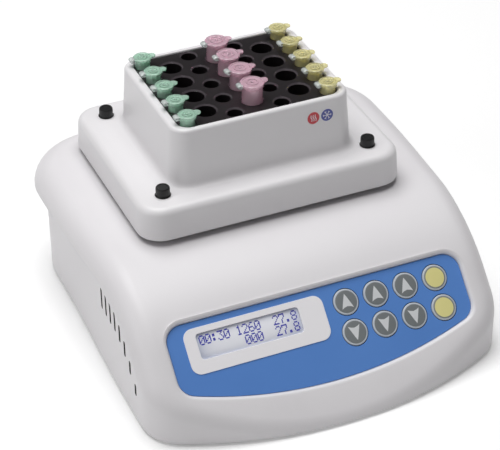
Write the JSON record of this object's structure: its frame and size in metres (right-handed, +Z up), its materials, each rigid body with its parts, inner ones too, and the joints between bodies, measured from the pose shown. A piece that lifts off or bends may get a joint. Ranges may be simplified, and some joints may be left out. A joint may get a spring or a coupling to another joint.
{
  "type": "dry-block thermo-shaker",
  "caption": "Bench thermo-shaker with a sloped keypad, an orbiting heated platform and a lift-off block of capped microtubes.",
  "frame": {"origin": "middle of the bounding box footprint, on the bench", "axes": "+Z up, -Y towards the keypad at the front, +X to the right seen from the front"},
  "size_m": [0.2, 0.2146, 0.1298],
  "materials": {
    "housing_abs": "satin",
    "dark_plastic": "satin",
    "rubber": "matte",
    "screw_steel": "satin",
    "overlay_blue": "satin",
    "overlay_white": "satin",
    "clear_window": "glossy",
    "circuit_board": "satin",
    "key_grey": "satin",
    "key_yellow": "satin",
    "aluminium": "satin",
    "black_aluminium": "satin",
    "turned_steel": "polished",
    "brass": "satin",
    "belt_rubber": "matte",
    "ceramic_white": "matte",
    "knob_black": "satin",
    "tube_green": "glossy",
    "tube_pink": "glossy",
    "tube_yellow": "glossy",
    "ribbon": "satin"
  },
  "bodies": {
    "base": {"upper_housing": "housing_abs", "base_pan": "dark_plastic", "rubber_feet": "rubber", "housing_screws": "screw_steel", "keypad_overlay": "overlay_blue", "display_inlay": "overlay_white", "display_window": "clear_window", "lcd_module": "dark_plastic", "control_board": "circuit_board", "main_board": "circuit_board", "ribbon_cable": "ribbon", "power_inlet": "dark_plastic", "power_switch_case": "dark_plastic", "fan_frame": "dark_plastic", "motor_bracket": "screw_steel", "motor_can": "screw_steel", "drive_belt": "belt_rubber", "bearing_housing": "aluminium", "spindle_bearings": "turned_steel", "flex_posts": "rubber"},
    "motor_rotor": {"motor_shaft": "turned_steel", "motor_pulley": "aluminium"},
    "spindle_group": {"spindle": "turned_steel", "spindle_pulley": "aluminium", "counterweight": "brass"},
    "platform": {"carrier_plate": "aluminium", "eccentric_bearing": "turned_steel", "peltier_modules": "ceramic_white", "heat_plate": "aluminium"},
    "block": {"tube_block": "black_aluminium", "block_cover": "housing_abs"},
    "switch_rocker_body": {"switch_rocker": "dark_plastic"},
    "fan_rotor_body": {"fan_rotor": "dark_plastic"},
    "thumb_screw_1_body": {"thumb_screw_1": "knob_black"},
    "thumb_screw_2_body": {"thumb_screw_2": "knob_black"},
    "thumb_screw_3_body": {"thumb_screw_3": "knob_black"},
    "thumb_screw_4_body": {"thumb_screw_4": "knob_black"},
    "key_up_1_body": {"key_up_1": "key_grey"},
    "key_up_2_body": {"key_up_2": "key_grey"},
    "key_up_3_body": {"key_up_3": "key_grey"},
    "key_round_1_body": {"key_round_1": "key_yellow"},
    "key_down_1_body": {"key_down_1": "key_grey"},
    "key_down_2_body": {"key_down_2": "key_grey"},
    "key_down_3_body": {"key_down_3": "key_grey"},
    "key_round_2_body": {"key_round_2": "key_yellow"},
    "small_tube_a1_body": {"small_tube_a1": "tube_green"},
    "small_tube_a2_body": {"small_tube_a2": "tube_green"},
    "small_tube_a3_body": {"small_tube_a3": "tube_green"},
    "small_tube_a4_body": {"small_tube_a4": "tube_green"},
    "small_tube_a5_body": {"small_tube_a5": "tube_green"},
    "large_tube_d1_body": {"large_tube_d1": "tube_pink"},
    "large_tube_d2_body": {"large_tube_d2": "tube_pink"},
    "large_tube_d3_body": {"large_tube_d3": "tube_pink"},
    "large_tube_d4_body": {"large_tube_d4": "tube_pink"},
    "small_tube_g1_body": {"small_tube_g1": "tube_yellow"},
    "small_tube_g2_body": {"small_tube_g2": "tube_yellow"},
    "small_tube_g3_body": {"small_tube_g3": "tube_yellow"},
    "small_tube_g4_body": {"small_tube_g4": "tube_yellow"},
    "small_tube_g5_body": {"small_tube_g5": "tube_yellow"}
  },
  "joints": [
    {"name": "spindle_spin", "type": "hinge", "parent": "base", "child": "spindle_group", "pos_m": [0, 0.0362, 0.03], "axis": [0, 0, 1], "continuous": true},
    {"name": "platform_counter_spin", "type": "hinge", "parent": "spindle_group", "child": "platform", "pos_m": [0, 0.0372, 0.06], "axis": [0, 0, 1], "continuous": true},
    {"name": "motor_spin", "type": "hinge", "parent": "base", "child": "motor_rotor", "pos_m": [0, -0.0208, 0.03], "axis": [0, 0, 1], "continuous": true},
    {"name": "fan_spin", "type": "hinge", "parent": "base", "child": "fan_rotor_body", "pos_m": [-0.0864, -0.027, 0.029], "axis": [1, 0, 0], "continuous": true},
    {"name": "block_lift", "type": "slide", "parent": "platform", "child": "block", "axis": [0, 0, 1], "range_m": [0, 0.06]},
    {"name": "thumb_screw_1_turn", "type": "hinge", "parent": "block", "child": "thumb_screw_1_body", "pos_m": [-0.0566, -0.0041, 0.09], "axis": [0, 0, 1], "range_deg": [0, 1080]},
    {"name": "thumb_screw_2_turn", "type": "hinge", "parent": "block", "child": "thumb_screw_2_body", "pos_m": [0.0566, -0.0041, 0.09], "axis": [0, 0, 1], "range_deg": [0, 1080]},
    {"name": "thumb_screw_3_turn", "type": "hinge", "parent": "block", "child": "thumb_screw_3_body", "pos_m": [0.0566, 0.0785, 0.09], "axis": [0, 0, 1], "range_deg": [0, 1080]},
    {"name": "thumb_screw_4_turn", "type": "hinge", "parent": "block", "child": "thumb_screw_4_body", "pos_m": [-0.0566, 0.0785, 0.09], "axis": [0, 0, 1], "range_deg": [0, 1080]},
    {"name": "rocker_tilt", "type": "hinge", "parent": "base", "child": "switch_rocker_body", "pos_m": [0.062, 0.1023, 0.028], "axis": [1, 0, 0], "range_deg": [-12, 0]},
    {"name": "key_up_1_press", "type": "slide", "parent": "base", "child": "key_up_1_body", "axis": [0, 0.7071, -0.7071], "range_m": [0, 0.0004], "stiffness_N_per_m": 900, "springref_m": -0.0002},
    {"name": "key_up_2_press", "type": "slide", "parent": "base", "child": "key_up_2_body", "axis": [0, 0.7071, -0.7071], "range_m": [0, 0.0004], "stiffness_N_per_m": 900, "springref_m": -0.0002},
    {"name": "key_up_3_press", "type": "slide", "parent": "base", "child": "key_up_3_body", "axis": [0, 0.7071, -0.7071], "range_m": [0, 0.0004], "stiffness_N_per_m": 900, "springref_m": -0.0002},
    {"name": "key_round_1_press", "type": "slide", "parent": "base", "child": "key_round_1_body", "axis": [0, 0.7071, -0.7071], "range_m": [0, 0.0004], "stiffness_N_per_m": 900, "springref_m": -0.0002},
    {"name": "key_down_1_press", "type": "slide", "parent": "base", "child": "key_down_1_body", "axis": [0, 0.7071, -0.7071], "range_m": [0, 0.0004], "stiffness_N_per_m": 900, "springref_m": -0.0002},
    {"name": "key_down_2_press", "type": "slide", "parent": "base", "child": "key_down_2_body", "axis": [0, 0.7071, -0.7071], "range_m": [0, 0.0004], "stiffness_N_per_m": 900, "springref_m": -0.0002},
    {"name": "key_down_3_press", "type": "slide", "parent": "base", "child": "key_down_3_body", "axis": [0, 0.7071, -0.7071], "range_m": [0, 0.0004], "stiffness_N_per_m": 900, "springref_m": -0.0002},
    {"name": "key_round_2_press", "type": "slide", "parent": "base", "child": "key_round_2_body", "axis": [0, 0.7071, -0.7071], "range_m": [0, 0.0004], "stiffness_N_per_m": 900, "springref_m": -0.0002},
    {"name": "small_tube_a1_lift", "type": "slide", "parent": "block", "child": "small_tube_a1_body", "axis": [0, 0, 1], "range_m": [0, 0.035]},
    {"name": "small_tube_a2_lift", "type": "slide", "parent": "block", "child": "small_tube_a2_body", "axis": [0, 0, 1], "range_m": [0, 0.035]},
    {"name": "small_tube_a3_lift", "type": "slide", "parent": "block", "child": "small_tube_a3_body", "axis": [0, 0, 1], "range_m": [0, 0.035]},
    {"name": "small_tube_a4_lift", "type": "slide", "parent": "block", "child": "small_tube_a4_body", "axis": [0, 0, 1], "range_m": [0, 0.035]},
    {"name": "small_tube_a5_lift", "type": "slide", "parent": "block", "child": "small_tube_a5_body", "axis": [0, 0, 1], "range_m": [0, 0.035]},
    {"name": "large_tube_d1_lift", "type": "slide", "parent": "block", "child": "large_tube_d1_body", "axis": [0, 0, 1], "range_m": [0, 0.042]},
    {"name": "large_tube_d2_lift", "type": "slide", "parent": "block", "child": "large_tube_d2_body", "axis": [0, 0, 1], "range_m": [0, 0.042]},
    {"name": "large_tube_d3_lift", "type": "slide", "parent": "block", "child": "large_tube_d3_body", "axis": [0, 0, 1], "range_m": [0, 0.042]},
    {"name": "large_tube_d4_lift", "type": "slide", "parent": "block", "child": "large_tube_d4_body", "axis": [0, 0, 1], "range_m": [0, 0.042]},
    {"name": "small_tube_g1_lift", "type": "slide", "parent": "block", "child": "small_tube_g1_body", "axis": [0, 0, 1], "range_m": [0, 0.035]},
    {"name": "small_tube_g2_lift", "type": "slide", "parent": "block", "child": "small_tube_g2_body", "axis": [0, 0, 1], "range_m": [0, 0.035]},
    {"name": "small_tube_g3_lift", "type": "slide", "parent": "block", "child": "small_tube_g3_body", "axis": [0, 0, 1], "range_m": [0, 0.035]},
    {"name": "small_tube_g4_lift", "type": "slide", "parent": "block", "child": "small_tube_g4_body", "axis": [0, 0, 1], "range_m": [0, 0.035]},
    {"name": "small_tube_g5_lift", "type": "slide", "parent": "block", "child": "small_tube_g5_body", "axis": [0, 0, 1], "range_m": [0, 0.035]}
  ],
  "couplings": [
    {"joint": "platform_counter_spin", "follows": "spindle_spin", "ratio": -1},
    {"joint": "motor_spin", "follows": "spindle_spin", "ratio": 3.3333}
  ]
}
